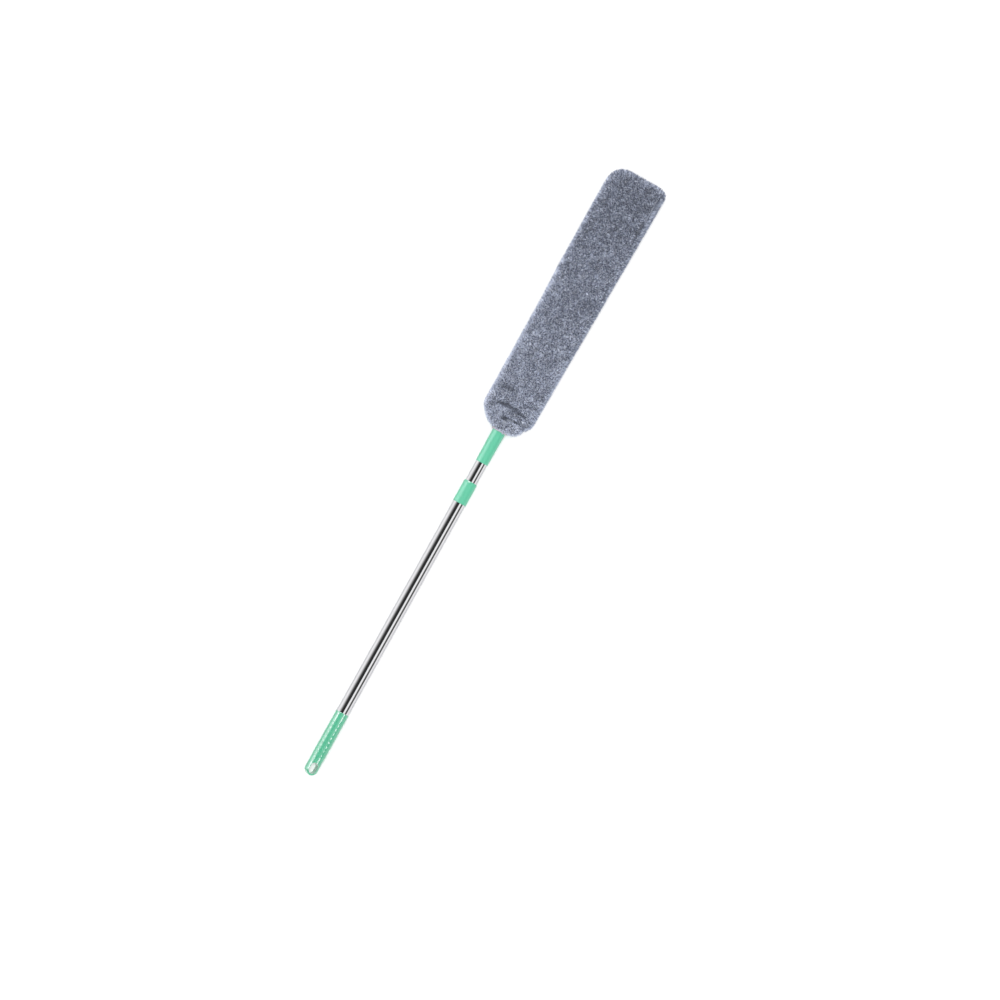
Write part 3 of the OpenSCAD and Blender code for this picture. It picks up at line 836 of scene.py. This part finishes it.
# How far a strand leans in to its tuft's head, and how much shorter it is in a crease, as shares
LEAN_IN = 0.72
CREASE_SHORTER = 0.55
# Tones at which the pile's yarn changes, from its darkest to its palest
TONE_CUTS = (-9.0, -1.45, -0.80, 0.0, 0.80, 9.0)


def tuft_field(triangles, rng):
    """Tufts over the cover: their roots, where their strands meet, their tones and a lookup."""
    roots, ups = scatter(triangles, TUFT_COUNT, rng)
    lean = nap(roots, ups) * 3.4 * MM + rng.normal(0, 0.9 * MM, roots.shape)
    lean -= ups * (lean * ups).sum(1, keepdims=True)
    tall = PILE_H * (1.0 + 0.06 * rng.normal(size=len(roots)))
    heads = roots + ups * tall[:, None] + lean
    tone = rng.normal(size=len(roots))
    tree = KDTree(len(roots))
    for i, p in enumerate(roots):
        tree.insert(p, i)
    tree.balance()
    return roots, heads, tone, tree


def painted_light_and_tone(p, n):
    """Where the cover is paler or darker: patches, ends, painted shade in the creases and the seam's
    groove, and painted light and shade on the edges by the way they face.
    """
    tone = 0.64 - 1.45 * (p[:, 0] - MOUTH_X) / (TIP_X - MOUTH_X)
    tone += 0.20 * noise(p, 45 * MM, 31) + 0.15 * noise(p, 16 * MM, 32)
    # Painted shade in the creases and dimples
    tone -= 3.8 * folds(p) * (n[:, 2] > 0.2)
    # Painted shade along the side seam's groove
    tone -= 1.6 * seam_share(p) * bump(seam_gap(p) / (1.6 * MM)) * (n[:, 2] > 0.2)
    # Painted light on the sides facing +Y, painted shade on those facing -Y
    tone += 0.15 * smooth((n[:, 1] - 0.35) / 0.4) - 0.60 * smooth((-n[:, 1] - 0.35) / 0.4)
    # Painted light on the faces turned towards the tip
    tone += 0.10 * smooth((n[:, 0] - 0.3) / 0.4)
    return tone + 0.3 * seam_share(p) * (seam_gap(p) < -2 * MM)


def make_strands(triangles, rng):
    """Every strand's root, root normal, tip and tone. Each leans in to the head of its nearest tuft."""
    roots, ups = scatter(triangles, STRAND_COUNT, rng)
    tuft_roots, heads, tuft_tone, tree = tuft_field(triangles, rng)
    near = np.array([tree.find(p)[1] for p in roots])
    short = 1 - CREASE_SHORTER * np.clip(folds(roots), 0, 1) * (ups[:, 2] > 0.2)
    own = roots + ups * PILE_H + (heads[near] - tuft_roots[near]) * 0.5
    tips = own + (heads[near] - own) * LEAN_IN + rng.normal(0, 0.3 * MM, roots.shape)
    tips = roots + (tips - roots) * short[:, None]
    # Each strand's tone: its tuft's and its own at random, plus the painted light and shade of its place
    tone = 0.75 * tuft_tone[near] + 0.75 * rng.normal(size=len(roots)) + painted_light_and_tone(roots, ups)
    tips[:, 2] = np.maximum(tips[:, 2], FLOOR_GAP)
    return roots - ups * 0.3 * MM, ups, tips, tone


def pile_piece(name, tone, part, rng):
    """One yarn of the pile as a piece of its own."""
    roots, ups, tips = part
    thick = STRAND_R * (0.8 + 0.4 * rng.random(len(roots)))
    verts, faces, along = strands(roots, ups, tips, thick)
    verts[:, 2] = np.maximum(verts[:, 2], FLOOR_GAP / 2)
    mesh = mesh_from(name, verts, faces)
    store(mesh, "along", along)
    mesh.materials.append(pile(name, tone))
    piece = link(bpy.data.objects.new(name, mesh))
    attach(piece, "cover")


def make_pile(body):
    """The pile over the body, one piece for each yarn."""
    rng = np.random.default_rng(7)
    roots, ups, tips, tone = make_strands(outer_triangles(body.data), rng)
    # Strands go to yarns by tone, so painted shade picks the darker yarns and painted light the paler ones
    for (yarn, colour), low, high in zip(reversed(YARNS.items()), TONE_CUTS, TONE_CUTS[1:]):
        chosen = (tone >= low) & (tone < high)
        pile_piece("pile_" + yarn, colour, (roots[chosen], ups[chosen], tips[chosen]), rng)


# ---------- binding ----------

TAPE_MIDDLE = 2.9 * MM
TAPE_HALF_W = 1.8 * MM
TAPE_POWER = 0.7
PUCKER_RISE = 0.35 * MM
PUCKER_ALONG = 0.25 * MM


def make_binding():
    """The folded tape round the mouth, puckered by its elastic."""
    steps, turns = 16, 180
    hem_low, hem_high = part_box("mouth_hem")
    inner, outer = MOUTH_BORE_R, hem_high.z - AXIS_Z + 0.2 * MM
    rings = []
    for t in range(turns):
        a = 2 * math.pi * t / turns
        pucker = 0.30 * math.sin(26 * a) + 0.15 * math.sin(15 * a + 1)
        ring = []
        for k in range(steps):
            b = 2 * math.pi * k / steps
            r = (inner + outer) / 2 + (outer - inner) / 2 * power_sign(math.cos(b), TAPE_POWER)
            r += PUCKER_RISE * pucker * (1 + math.cos(b)) / 2
            x = hem_low.x + TAPE_MIDDLE + TAPE_HALF_W * power_sign(math.sin(b), TAPE_POWER)
            x += PUCKER_ALONG * pucker
            ring.append((x, r * math.cos(a), AXIS_Z + r * math.sin(a)))
        rings.append(np.array(ring))
    mesh = skin("mouth_binding", rings + [rings[0]], ends=False)
    mesh.polygons.foreach_set("use_smooth", np.ones(len(mesh.polygons), bool))
    mesh.materials.append(hem_cloth())
    piece = link(bpy.data.objects.new("mouth_binding", mesh))
    weld = piece.modifiers.new("weld", "WELD")
    weld.merge_threshold = 0.01 * MM
    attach(piece, "cover")
    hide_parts("mouth_hem", "mouth_elastic")


def make_cover():
    """The plush cover: its padded body, its pile and its binding."""
    body = make_body()
    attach(body, "cover")
    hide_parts("plush_front", "plush_back", "side_seam", "mouth_gather")
    make_pile(body)
    make_binding()


# ---------- everything ----------

bpy.context.scene.view_settings.view_transform = "Standard"
make_camera()
make_world()
make_lights()
make_floor()
dress_cad()
make_cover()
